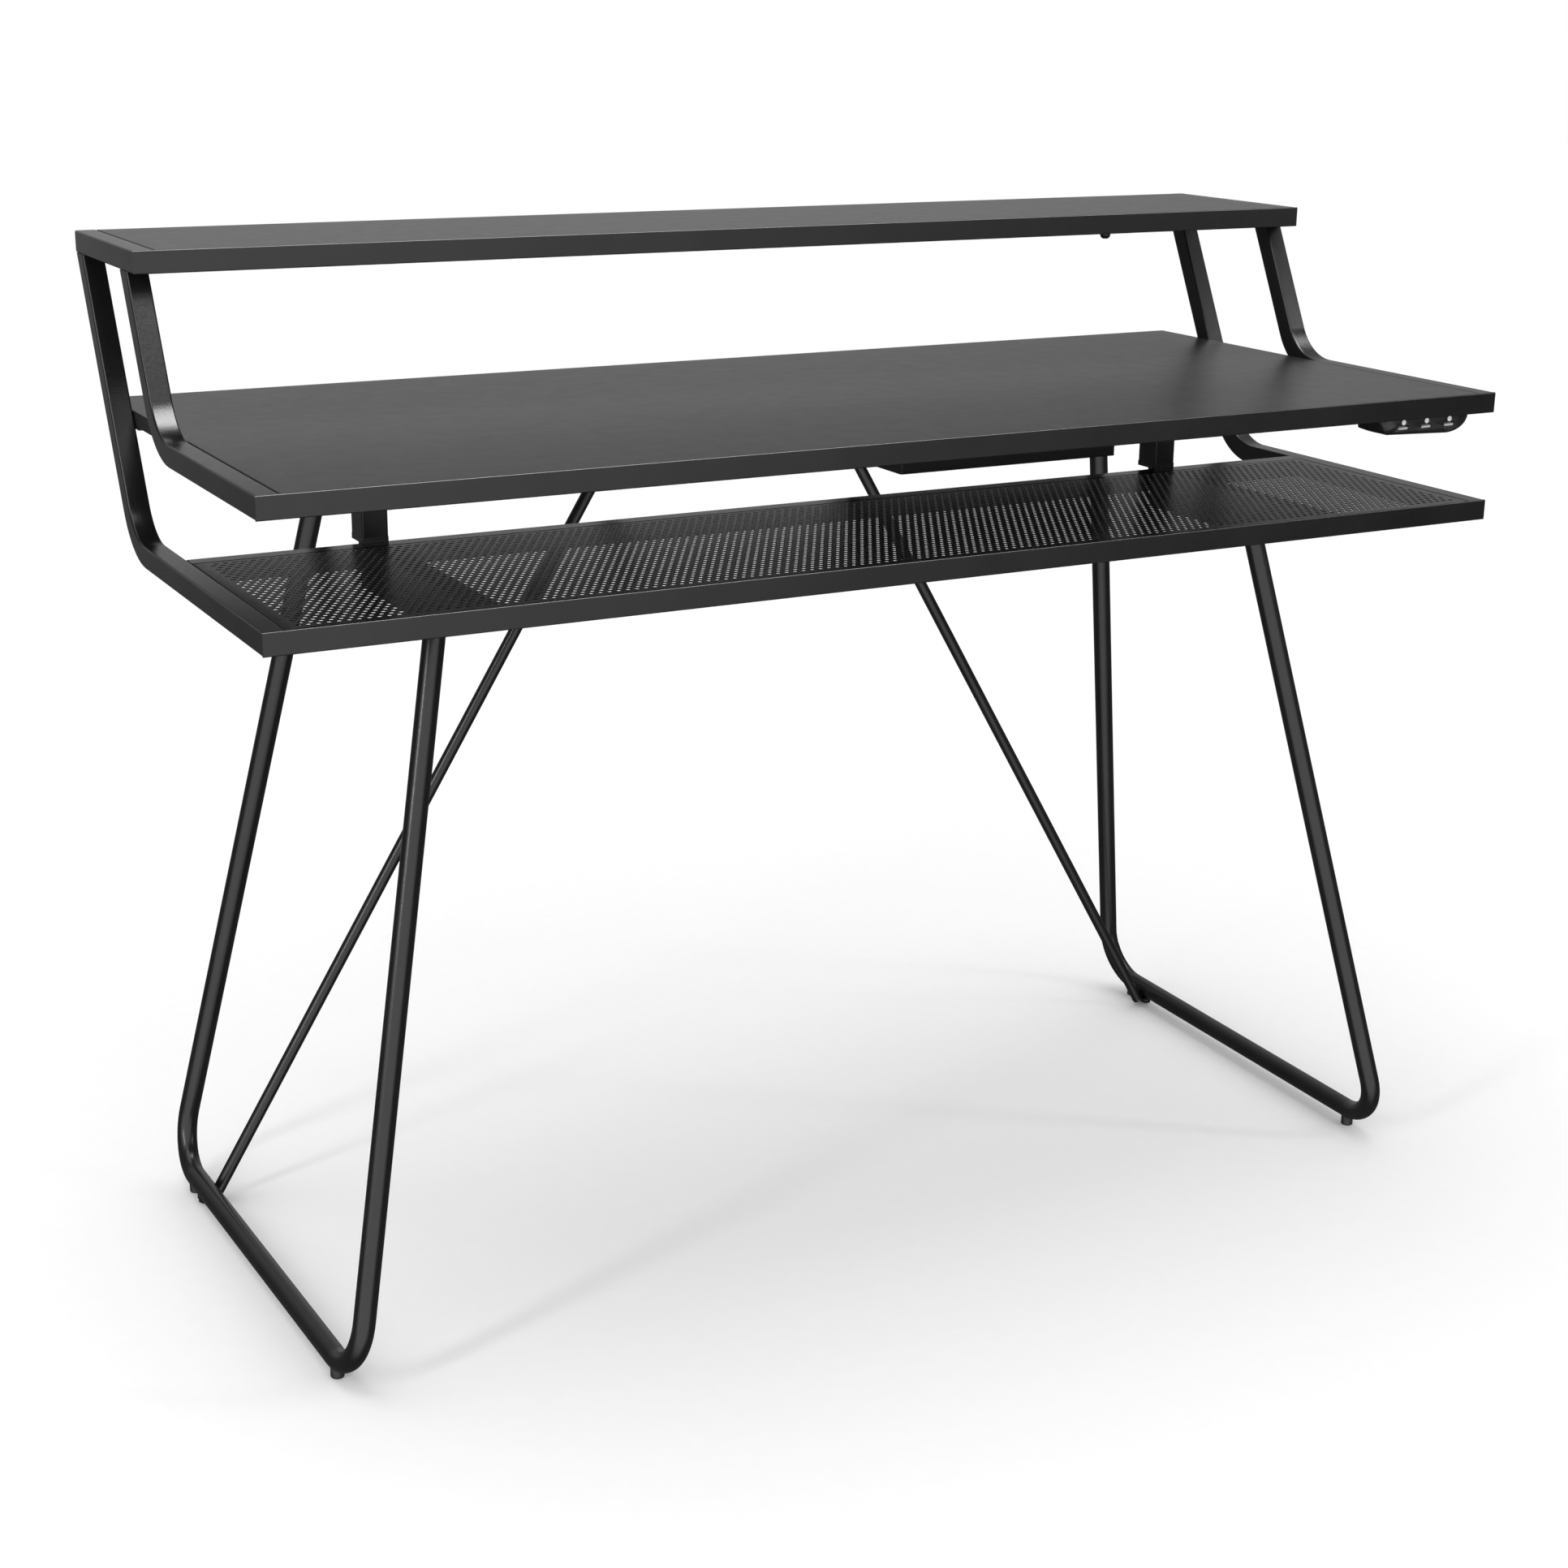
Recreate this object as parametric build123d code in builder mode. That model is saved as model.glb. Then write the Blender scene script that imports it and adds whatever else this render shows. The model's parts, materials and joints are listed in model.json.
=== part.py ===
"""Computer desk with a riser shelf, a worktop and a perforated steel keyboard tray.

Two side frames of bent square tube carry the three levels. Each level is closed in front
by a thin-edged steel rail. Two hairpin legs of round tube and two diagonal rods hold it up.

X runs along the desk, +Y to the back, +Z up. The origin is on the floor, under the middle
of the desk's outline. Sizes are in millimetres.
"""

from build123d import *
from math import sqrt
import os

os.makedirs("parts", exist_ok=True)

# ---------------------------------------------------------------- driving dimensions
WIDTH = 1200.0
RISER_TOP = 917.5
WORKTOP_TOP = 770.5
TRAY_TOP = 668.0
FRONT_Y = -253.1  # the front faces of the worktop and the tray

TUBE = 19.0  # square tube of the side frames and cross members
TUBE_CORNER = 1.8
WALL = 1.5
PANEL = 13.0  # board thickness
GAP = 0.5  # shadow gap between a side rail and the board or sheet beside it

RISER_FRONT = 306.0  # depths, measured back from the front face
RISER_REAR = 500.0
WORKTOP_REAR = 497.0
TRAY_REAR_RAIL = 250.5
LEAN = 0.503  # how far the slanted tubes run back for each unit of rise
FRONT_TUBE_DEPTH = 342.0  # centre of the front tube where it meets the riser rail
BEND = 60.0  # centre-line radius of the side tubes' bends

PLATE = 2.0  # thickness of the front rails
LEDGE = 12.0  # depth of the ledge behind a front rail

BEAM_X = 417.5  # centre of the beams, posts and legs' upper ends
BEAM_WIDTH = 25.0
POST_SECTION = (23.5, 29.0)
POST_FRONT = 264.0
POST_FOOT_HEIGHT = 5.0

LEG_DIAMETER = 19.0
LEG_BEND = 45.0
RUNNER_Z = 17.5
LEG_REAR_FOOT = (560.5, 504.6)  # x and depth where the runner and an upright would meet
LEG_FRONT_FOOT = (548.4, 11.9)
LEG_REAR_TOP = (416.9, 386.4)
LEG_FRONT_TOP = (419.0, 121.0)

BRACE_DIAMETER = 11.5
BRACE_FOOT_DEPTH = 428.0
BRACE_TOP_X = 107.0

GLIDE_DEPTHS = (62.0, 455.0)
GLIDE_DIAMETER = 12.0
GLIDE_STEM = 7.0

BOX = (117.0, 280.0, 250.0, 105.0, 75.0)  # cable box: left end, depth, width, length, height
SHEET = 1.5  # its wall
FLANGE = 14.0  # flanges turned out from its ends
BOX_SCREWS = [
    (x, depth)
    for x in (BOX[0] - FLANGE / 2, BOX[0] + BOX[2] + FLANGE / 2)
    for depth in (BOX[1] + 20.0, BOX[1] + BOX[3] - 20.0)
]

HUB_X = (477.5, 580.5)
HUB_FRONT = 14.0
HUB_LENGTH = 36.0
PORT_PITCH = 28.0
PORT_X = 530.5  # the middle port
PORT_DROP = 16.1  # from the worktop's underside down to the ports' middle
HUB_SCREWS = [(HUB_X[0] + 14.0, 40.0), (HUB_X[1] - 14.0, 40.0)]

# ---------------------------------------------------------------- derived dimensions
SIDE_X = (WIDTH - TUBE) / 2  # centre plane of a side frame
INNER_X = WIDTH / 2 - TUBE  # inner face of a side frame
PANEL_X = INNER_X - GAP
RISER_BOTTOM = RISER_TOP - TUBE
TRAY_BOTTOM = TRAY_TOP - TUBE
BOARD_BOTTOM = WORKTOP_TOP - PANEL
PORT_Z = BOARD_BOTTOM - PORT_DROP
BEAM_BOTTOM = BOARD_BOTTOM - TUBE
LEG_BAR_BOTTOM = TRAY_BOTTOM - TUBE
TUBE_RUN = TUBE * sqrt(1 + LEAN**2)  # level thickness of a slanted tube
REAR_TUBE_DEPTH = RISER_REAR - TUBE_RUN / 2
SHEET_THICKNESS = 0.7
SHEET_LIP = 12.0
SIDES = {"left": -1, "right": 1}

SCREW_SHANK = 3.6
SCREW_HOLE = 3.8
SCREW_BITE = 9.0  # how deep the screws go into a board
BOLT_HEAD = (10.0, 4.0)  # width across flats and height
BOLT_SHANK = 5.8
BOLT_HOLE = 6.2
PLUG_DEPTH = 12.0  # how deep end plugs reach into a tube
PLUG_PLAY = 0.2  # on each side of a plug
STUD = (366.5, 10.0, 5.0)  # hook stud under the riser's front rail: x, diameter, drop
RISER_SCREWS = [
    (x, depth)
    for x in (-480.0, 0.0, 480.0)
    for depth in (RISER_FRONT + PLATE + 7.0, RISER_REAR - PLATE - 7.0)
]
WORKTOP_SCREWS = [(x, depth) for x in (-BEAM_X, BEAM_X) for depth in (110.0, 200.0, 330.0)]
BRACKET = (24.0, 30.0)  # plates under the worktop's back corners
BRACKET_SCREWS = [(x, 414.0) for x in (-(INNER_X - 14.0), INNER_X - 14.0)]
LEG_BAR_BOLTS = [(x, depth) for x in (-BEAM_X, BEAM_X) for depth in (170.0, 235.0)]


def back(depth):
    """Y of a point this far behind the front face."""
    return FRONT_Y + depth


def finish(builder, name):
    """Label a finished piece and write its STEP file."""
    builder.part.label = name
    export_step(builder.part, f"parts/{name}.step")


def block(x, depth, z):
    """A box between two limits along each axis, added to the part being built."""
    with Locations((sum(x) / 2, back(sum(depth) / 2), sum(z) / 2)):
        Box(x[1] - x[0], depth[1] - depth[0], z[1] - z[0])


def tube_profile(width, height):
    """Square or rectangular tube section with rounded corners, hollow."""
    RectangleRounded(width, height, TUBE_CORNER)
    inner_corner = TUBE_CORNER - WALL
    RectangleRounded(width - 2 * WALL, height - 2 * WALL, inner_corner, mode=Mode.SUBTRACT)


def drill(points, diameter, z, height):
    """Upright holes from z up, cut from the part being built; points are (x, depth)."""
    for x, depth in points:
        with Locations((x, back(depth), z + height / 2)):
            Cylinder(diameter / 2, height, mode=Mode.SUBTRACT)


def straight_tube(start, end, width=TUBE, height=TUBE, holes=(), hole=0.0, hole_z=(0.0, 1.0)):
    """Hollow tube between two points along X, Y or Z; width lies across, height upwards."""
    direction = Vector(*end) - Vector(*start)
    across = Vector(0, 1, 0) if abs(direction.X) > 0 else Vector(1, 0, 0)
    with BuildPart() as tube:
        with BuildSketch(Plane(origin=start, x_dir=across, z_dir=direction)):
            tube_profile(width, height)
        extrude(amount=direction.length)
        drill(holes, hole, hole_z[0], hole_z[1] - hole_z[0])
    return tube


def side_tube(side, top_depth, rail_z):
    """Slanted square tube whose lower end bends forward into a side rail."""
    x = side * SIDE_X
    corner_depth = top_depth - LEAN * (RISER_BOTTOM - rail_z)
    above = 30.0
    with BuildPart() as tube:
        with BuildLine() as line:
            FilletPolyline(
                (x, back(PLATE), rail_z),
                (x, back(corner_depth), rail_z),
                (x, back(top_depth + LEAN * above), RISER_BOTTOM + above),
                radius=BEND,
            )
        with BuildSketch(Plane(origin=line.line @ 0, x_dir=(1, 0, 0), z_dir=line.line % 0)):
            tube_profile(TUBE, TUBE)
        sweep(path=line.line)
        split(bisect_by=Plane.XY.offset(RISER_BOTTOM), keep=Keep.BOTTOM)
    return tube


def edge_rail(front, top, ledge_drop, ledge, length, facing=1, ledge_end=PANEL_X, holes=()):
    """Flat steel rail with a ledge behind it; facing is 1 for a front rail, -1 for a rear one."""
    with BuildPart() as rail:
        block((-length / 2, length / 2), sorted((front, front + facing * PLATE)), (top - TUBE, top))
        outer = rail.edges().filter_by(Axis.X).sort_by(Axis.Y)
        outer_edges = outer[:2] if facing > 0 else outer[-2:]
        fillet(outer_edges, radius=PLATE / 2)
        ledge_depths = sorted((front + facing * PLATE, front + facing * (PLATE + ledge)))
        block((-ledge_end, ledge_end), ledge_depths, (top - ledge_drop - PLATE, top - ledge_drop))
        drill(holes, SCREW_HOLE, top - ledge_drop - PLATE, PLATE)
    return rail


def hex_bolt(head, height, shank, length):
    """Bolt standing on its head, which ends at z = 0; the shank rises from there."""
    with BuildPart() as bolt:
        with BuildSketch():
            RegularPolygon(head / 2, 6, major_radius=False)
        extrude(amount=-height)
        with Locations((0, 0, length / 2)):
            Cylinder(shank / 2, length)
    return bolt.part


def pan_screw(head, height, shank, length):
    """Screw with a domed head below z = 0 and its shank above."""
    with BuildPart() as screw:
        with BuildSketch(Plane.XZ):
            with BuildLine():
                Polyline((0, 0), (0, -height), (head / 4, -height))
                ThreePointArc(
                    (head / 4, -height),
                    (head * 0.43, -height * 0.7),
                    (head / 2, 0),
                )
                Line((head / 2, 0), (0, 0))
            make_face()
        revolve(axis=Axis.Z)
        with Locations((0, 0, length / 2)):
            Cylinder(shank / 2, length)
    return screw.part


# ---------------------------------------------------------------- side frames
for side_name, side in SIDES.items():
    rear_tube = side_tube(side, REAR_TUBE_DEPTH, TRAY_TOP - TUBE / 2)
    finish(rear_tube, f"{side_name}_rear_side_tube")

    front_tube = side_tube(side, FRONT_TUBE_DEPTH, WORKTOP_TOP - TUBE / 2)
    finish(front_tube, f"{side_name}_front_side_tube")

    rail_z = RISER_TOP - TUBE / 2
    riser_rail = straight_tube(
        (side * SIDE_X, back(RISER_FRONT + PLATE), rail_z),
        (side * SIDE_X, back(RISER_REAR - WALL), rail_z),
    )
    finish(riser_rail, f"{side_name}_riser_side_rail")

plug_width = TUBE - 2 * WALL - 2 * PLUG_PLAY
with BuildPart() as riser_rail_end_caps:
    for side in SIDES.values():
        with BuildSketch(Plane.XZ.offset(-back(RISER_REAR))):
            with Locations((side * SIDE_X, RISER_TOP - TUBE / 2)):
                RectangleRounded(TUBE, TUBE, TUBE_CORNER)
        extrude(amount=WALL)
        with BuildSketch(Plane.XZ.offset(-back(RISER_REAR - WALL))):
            with Locations((side * SIDE_X, RISER_TOP - TUBE / 2)):
                Rectangle(plug_width, plug_width)
        extrude(amount=PLUG_DEPTH)
finish(riser_rail_end_caps, "riser_rail_end_caps")

# ---------------------------------------------------------------- riser
riser_front_rail = edge_rail(
    RISER_FRONT, RISER_TOP, PANEL, LEDGE, WIDTH, holes=RISER_SCREWS[0::2]
)
finish(riser_front_rail, "riser_front_rail")

riser_rear_rail = edge_rail(
    RISER_REAR, RISER_TOP, PANEL, LEDGE, 2 * INNER_X, facing=-1, holes=RISER_SCREWS[1::2]
)
finish(riser_rear_rail, "riser_rear_rail")

with BuildPart() as riser_panel:
    board = (RISER_FRONT + PLATE + GAP, RISER_REAR - PLATE - GAP)
    block((-PANEL_X, PANEL_X), board, (RISER_TOP - PANEL, RISER_TOP))
    drill(RISER_SCREWS, SCREW_SHANK, RISER_TOP - PANEL, SCREW_BITE)
finish(riser_panel, "riser_panel")

riser_screw = pan_screw(8.0, 2.4, SCREW_SHANK, PLATE + SCREW_BITE - 0.5)
with BuildPart() as riser_screws:
    for screw_x, screw_depth in RISER_SCREWS:
        with Locations((screw_x, back(screw_depth), RISER_TOP - PANEL - PLATE)):
            add(riser_screw)
finish(riser_screws, "riser_screws")

# A round-headed stud on a spacer, on the underside of the front rail's ledge.
ledge_bottom = RISER_TOP - PANEL - PLATE
stud_depth = RISER_FRONT + PLATE + LEDGE / 2
stud_head = pan_screw(STUD[1], STUD[2], SCREW_SHANK, ledge_bottom - RISER_BOTTOM)
with BuildPart() as riser_stud:
    with Locations((STUD[0], back(stud_depth), RISER_BOTTOM)):
        add(stud_head)
finish(riser_stud, "riser_stud")

# ---------------------------------------------------------------- worktop
worktop_front_rail = edge_rail(0.0, WORKTOP_TOP, PANEL, LEDGE, WIDTH)
finish(worktop_front_rail, "worktop_front_rail")

BAND = 0.8
with BuildPart() as worktop_panel:
    board = (PLATE + GAP, WORKTOP_REAR - BAND)
    block((-PANEL_X + BAND, PANEL_X - BAND), board, (BOARD_BOTTOM, WORKTOP_TOP))
    screws = WORKTOP_SCREWS + BRACKET_SCREWS + BOX_SCREWS + HUB_SCREWS
    drill(screws, SCREW_SHANK, BOARD_BOTTOM, SCREW_BITE)
finish(worktop_panel, "worktop_panel")

with BuildPart() as worktop_edge_band:
    block((-PANEL_X, PANEL_X), (WORKTOP_REAR - BAND, WORKTOP_REAR), (BOARD_BOTTOM, WORKTOP_TOP))
    for side in SIDES.values():
        band_x = sorted((side * PANEL_X, side * (PANEL_X - BAND)))
        block(band_x, (PLATE + GAP, WORKTOP_REAR), (BOARD_BOTTOM, WORKTOP_TOP))
finish(worktop_edge_band, "worktop_edge_band")

cross_z = BOARD_BOTTOM - TUBE / 2
cross_depth = REAR_TUBE_DEPTH - LEAN * (RISER_BOTTOM - cross_z)
cross_x = BEAM_X - BEAM_WIDTH / 2
worktop_rear_cross_tube = straight_tube(
    (-cross_x, back(cross_depth), cross_z),
    (cross_x, back(cross_depth), cross_z),
)
finish(worktop_rear_cross_tube, "worktop_rear_cross_tube")

BEAM_FRONT = 70.0
BEAM_REAR = cross_depth + TUBE / 2
for side_name, side in SIDES.items():
    worktop_beam = straight_tube(
        (side * BEAM_X, back(BEAM_FRONT), cross_z),
        (side * BEAM_X, back(BEAM_REAR), cross_z),
        width=BEAM_WIDTH,
        holes=WORKTOP_SCREWS,
        hole=SCREW_HOLE,
        hole_z=(BEAM_BOTTOM, BOARD_BOTTOM),
    )
    finish(worktop_beam, f"{side_name}_worktop_beam")

worktop_screw = pan_screw(9.0, 2.6, SCREW_SHANK, TUBE + SCREW_BITE - 0.5)
bracket_screw = pan_screw(8.0, 2.4, SCREW_SHANK, PLATE + SCREW_BITE - 0.5)
with BuildPart() as worktop_screws:
    for screw_x, screw_depth in WORKTOP_SCREWS:
        with Locations((screw_x, back(screw_depth), BEAM_BOTTOM)):
            add(worktop_screw)
    for screw_x, screw_depth in BRACKET_SCREWS:
        with Locations((screw_x, back(screw_depth), BOARD_BOTTOM - PLATE)):
            add(bracket_screw)
finish(worktop_screws, "worktop_screws")

# ---------------------------------------------------------------- tray
tray_front_rail = edge_rail(
    0.0, TRAY_TOP, SHEET_THICKNESS, 7.0, WIDTH, ledge_end=PANEL_X - 2 * SHEET_THICKNESS
)
finish(tray_front_rail, "tray_front_rail")

rail_depth = TRAY_REAR_RAIL + TUBE / 2
tray_rear_rail = straight_tube(
    (-INNER_X, back(rail_depth), TRAY_TOP - TUBE / 2),
    (INNER_X, back(rail_depth), TRAY_TOP - TUBE / 2),
)
finish(tray_rear_rail, "tray_rear_rail")

sheet_bottom = TRAY_TOP - SHEET_THICKNESS
with BuildPart() as tray_perforated_sheet:
    sheet_depths = (PLATE + GAP, TRAY_REAR_RAIL - GAP)
    block((-PANEL_X, PANEL_X), sheet_depths, (sheet_bottom, TRAY_TOP))
    for side in SIDES.values():
        lip_x = sorted((side * PANEL_X, side * (PANEL_X - SHEET_THICKNESS)))
        block(lip_x, sheet_depths, (TRAY_TOP - SHEET_LIP, TRAY_TOP))
finish(tray_perforated_sheet, "tray_perforated_sheet")

CROSS_RAIL_HEIGHT = sheet_bottom - TRAY_BOTTOM
cross_rail_front = PLATE + 7.0
cross_rail_z = TRAY_BOTTOM + CROSS_RAIL_HEIGHT / 2
LEG_BAR = (80.0, 268.0)
for side_name, side in SIDES.items():
    cross_rail = straight_tube(
        (side * BEAM_X, back(cross_rail_front), cross_rail_z),
        (side * BEAM_X, back(TRAY_REAR_RAIL), cross_rail_z),
        width=BEAM_WIDTH,
        height=CROSS_RAIL_HEIGHT,
        holes=LEG_BAR_BOLTS,
        hole=BOLT_HOLE,
        hole_z=(TRAY_BOTTOM, TRAY_BOTTOM + WALL),
    )
    finish(cross_rail, f"{side_name}_tray_cross_rail")

    leg_bar = straight_tube(
        (side * BEAM_X, back(LEG_BAR[0]), TRAY_BOTTOM - TUBE / 2),
        (side * BEAM_X, back(LEG_BAR[1]), TRAY_BOTTOM - TUBE / 2),
        width=BEAM_WIDTH,
        holes=LEG_BAR_BOLTS,
        hole=BOLT_HOLE,
        hole_z=(LEG_BAR_BOTTOM, TRAY_BOTTOM),
    )
    finish(leg_bar, f"{side_name}_leg_bar")

leg_bar_bolt = hex_bolt(*BOLT_HEAD, BOLT_SHANK, TUBE + 8.0)
with BuildPart() as leg_bar_bolts:
    for bolt_x, bolt_depth in LEG_BAR_BOLTS:
        with Locations((bolt_x, back(bolt_depth), LEG_BAR_BOTTOM)):
            add(leg_bar_bolt)
finish(leg_bar_bolts, "leg_bar_bolts")

# Plugs in the open ends of the worktop beams and the leg bars.
with BuildPart() as beam_end_plugs:
    for side in SIDES.values():
        for end, face, z in (
            (BEAM_FRONT, -1, cross_z),
            (BEAM_REAR, 1, cross_z),
            (LEG_BAR[0], -1, TRAY_BOTTOM - TUBE / 2),
            (LEG_BAR[1], 1, TRAY_BOTTOM - TUBE / 2),
        ):
            half_width = BEAM_WIDTH / 2
            cap_x = (side * BEAM_X - half_width, side * BEAM_X + half_width)
            block(cap_x, sorted((end, end + face * WALL)), (z - TUBE / 2, z + TUBE / 2))
            rim = WALL + PLUG_PLAY
            inside_x = (cap_x[0] + rim, cap_x[1] - rim)
            inside_z = (z - TUBE / 2 + rim, z + TUBE / 2 - rim)
            block(inside_x, sorted((end, end - face * PLUG_DEPTH)), inside_z)
finish(beam_end_plugs, "beam_end_plugs")

# ---------------------------------------------------------------- posts
post_middle = POST_FRONT + POST_SECTION[1] / 2
for side_name, side in SIDES.items():
    with BuildPart() as post:
        with BuildSketch(Plane.XY.offset(TRAY_TOP + POST_FOOT_HEIGHT)):
            with Locations((side * BEAM_X, back(post_middle))):
                tube_profile(*POST_SECTION)
        extrude(amount=BEAM_BOTTOM - TRAY_TOP - POST_FOOT_HEIGHT)
    finish(post, f"{side_name}_post")

# Each foot sits on the rear rail's back edge and hooks down behind it.
FOOT_HOOK = (6.0, 15.0)
rail_back = TRAY_REAR_RAIL + TUBE
with BuildPart() as post_feet:
    for side in SIDES.values():
        foot_x = (side * BEAM_X - POST_SECTION[0] / 2, side * BEAM_X + POST_SECTION[0] / 2)
        foot_depths = (POST_FRONT, POST_FRONT + POST_SECTION[1])
        block(foot_x, foot_depths, (TRAY_TOP, TRAY_TOP + POST_FOOT_HEIGHT))
        block(foot_x, (rail_back, rail_back + FOOT_HOOK[0]), (TRAY_TOP - FOOT_HOOK[1], TRAY_TOP))
finish(post_feet, "post_feet")

# Plates from the rear side tubes that carry the worktop's back corners.
with BuildPart() as worktop_brackets:
    for x, depth in BRACKET_SCREWS:
        side = 1 if x > 0 else -1
        plate_x = sorted((side * INNER_X, side * (INNER_X - BRACKET[0])))
        plate_depths = (depth - BRACKET[1] / 2, depth + BRACKET[1] / 2)
        block(plate_x, plate_depths, (BOARD_BOTTOM - PLATE, BOARD_BOTTOM))
    drill(BRACKET_SCREWS, SCREW_HOLE, BOARD_BOTTOM - PLATE, PLATE)
finish(worktop_brackets, "worktop_brackets")

# ---------------------------------------------------------------- legs
TRIM = 40.0  # height of the blocks that trim the uprights level
BOLT_REACH = 14.0  # length of the holes for the glides and the braces' bolts
runner_start = Vector(LEG_FRONT_FOOT[0], back(LEG_FRONT_FOOT[1]), RUNNER_Z)
runner_end = Vector(LEG_REAR_FOOT[0], back(LEG_REAR_FOOT[1]), RUNNER_Z)
RUNNER_SLOPE = (runner_end.X - runner_start.X) / (runner_end.Y - runner_start.Y)


def runner_x(depth):
    """X of the right runner's centre line at this depth."""
    return LEG_FRONT_FOOT[0] + RUNNER_SLOPE * (depth - LEG_FRONT_FOOT[1])


def beyond(start, end, extra):
    """Point past end, on the line from start."""
    direction = (end - start).normalized()
    return end + direction * extra


for side_name, side in SIDES.items():
    front_top = Vector(LEG_FRONT_TOP[0], back(LEG_FRONT_TOP[1]), LEG_BAR_BOTTOM)
    rear_top = Vector(LEG_REAR_TOP[0], back(LEG_REAR_TOP[1]), BEAM_BOTTOM)
    route = [
        beyond(runner_start, front_top, 15.0),
        runner_start,
        runner_end,
        beyond(runner_end, rear_top, 15.0),
    ]
    route = [(side * point.X, point.Y, point.Z) for point in route]
    with BuildPart() as leg_tube:
        with BuildLine() as line:
            FilletPolyline(*route, radius=LEG_BEND)
        with BuildSketch(Plane(origin=line.line @ 0, z_dir=line.line % 0)):
            Circle(LEG_DIAMETER / 2)
            Circle(LEG_DIAMETER / 2 - WALL, mode=Mode.SUBTRACT)
        sweep(path=line.line)
        for top in (front_top, rear_top):
            with Locations((side * BEAM_X, top.Y, top.Z + TRIM / 2)):
                Box(3 * TRIM, 3 * TRIM, TRIM, mode=Mode.SUBTRACT)
        glide_points = [(side * runner_x(depth), depth) for depth in GLIDE_DEPTHS]
        drill(glide_points, GLIDE_STEM + 0.2, RUNNER_Z - BOLT_REACH - 1.0, BOLT_REACH)
        brace_point = (side * runner_x(BRACE_FOOT_DEPTH), BRACE_FOOT_DEPTH)
        drill([brace_point], BOLT_HOLE, RUNNER_Z - BOLT_REACH - 1.0, BOLT_REACH)
    finish(leg_tube, f"{side_name}_leg_tube")

# Push-in plastic glides, with a saddle that fits the runner's underside.
glide_top = RUNNER_Z - LEG_DIAMETER / 2 + 3.0
with BuildPart() as floor_glides:
    for side in SIDES.values():
        for glide_depth in GLIDE_DEPTHS:
            with BuildSketch():
                with Locations((side * runner_x(glide_depth), back(glide_depth))):
                    Circle(GLIDE_DIAMETER / 2)
    extrude(amount=glide_top)
    bottom_edges = floor_glides.edges().filter_by(GeomType.CIRCLE).group_by(Axis.Z)[0]
    fillet(bottom_edges, radius=1.5)
    for side in SIDES.values():
        start = (side * runner_start.X, runner_start.Y, RUNNER_Z)
        run = (side * (runner_end.X - runner_start.X), runner_end.Y - runner_start.Y, 0)
        with BuildSketch(Plane(origin=start, z_dir=run)):
            Circle(LEG_DIAMETER / 2)
        extrude(amount=(runner_end - runner_start).length, mode=Mode.SUBTRACT)
    for side in SIDES.values():
        for glide_depth in GLIDE_DEPTHS:
            with Locations((side * runner_x(glide_depth), back(glide_depth), glide_top)):
                Cylinder(GLIDE_STEM / 2, 8.0)
finish(floor_glides, "floor_glides")

# ---------------------------------------------------------------- braces
TAB = 2.6  # thickness of a rod's flattened end
TAB_WIDTH = 13.0
TAB_OVERLAP = 8.0  # how far the upper end runs on past the rod's axis
TOP_BOLT_X = BRACE_TOP_X - 16.0
ROD_SPARE = 15.0  # extra length, trimmed level under the cross tube
runner_bottom = RUNNER_Z - LEG_DIAMETER / 2
brace_foot_x = runner_x(BRACE_FOOT_DEPTH) - (LEG_DIAMETER + BRACE_DIAMETER) / 2 + 3.6
for side_name, side in SIDES.items():
    foot = Vector(side * brace_foot_x, back(BRACE_FOOT_DEPTH), runner_bottom - TAB + 1.0)
    top = Vector(side * BRACE_TOP_X, back(cross_depth), BEAM_BOTTOM - TAB)
    with BuildPart() as brace_rod:
        with BuildSketch(Plane(origin=foot, z_dir=top - foot)):
            Circle(BRACE_DIAMETER / 2)
        extrude(amount=(top - foot).length + ROD_SPARE)
        with Locations(top + Vector(0, 0, ROD_SPARE)):
            Box(4 * ROD_SPARE, 2 * ROD_SPARE, 2 * ROD_SPARE, mode=Mode.SUBTRACT)
        # flattened ends with bolt holes
        for bolt_x, bolt_depth, reach, z in (
            (runner_x(BRACE_FOOT_DEPTH), BRACE_FOOT_DEPTH, brace_foot_x, runner_bottom - TAB),
            (TOP_BOLT_X, cross_depth, BRACE_TOP_X + TAB_OVERLAP, BEAM_BOTTOM - TAB),
        ):
            with BuildSketch(Plane.XY.offset(z)):
                with Locations(((side * (bolt_x + reach) / 2), back(bolt_depth))):
                    SlotCenterToCenter(abs(bolt_x - reach), TAB_WIDTH)
                with Locations((side * bolt_x, back(bolt_depth))):
                    Circle(BOLT_HOLE / 2, mode=Mode.SUBTRACT)
            extrude(amount=TAB)
    finish(brace_rod, f"{side_name}_brace_rod")

lower_bolt = hex_bolt(*BOLT_HEAD, BOLT_SHANK, 12.0)
with BuildPart() as brace_lower_bolts:
    for side in SIDES.values():
        bolt_x = side * runner_x(BRACE_FOOT_DEPTH)
        with Locations((bolt_x, back(BRACE_FOOT_DEPTH), runner_bottom - TAB)):
            add(lower_bolt)
finish(brace_lower_bolts, "brace_lower_bolts")

upper_bolt = hex_bolt(*BOLT_HEAD, BOLT_SHANK, TAB - 0.1)
with BuildPart() as brace_upper_bolts:
    for side in SIDES.values():
        bolt_x = side * TOP_BOLT_X
        with Locations((bolt_x, back(cross_depth), BEAM_BOTTOM - TAB)):
            add(upper_bolt)
finish(brace_upper_bolts, "brace_upper_bolts")

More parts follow.
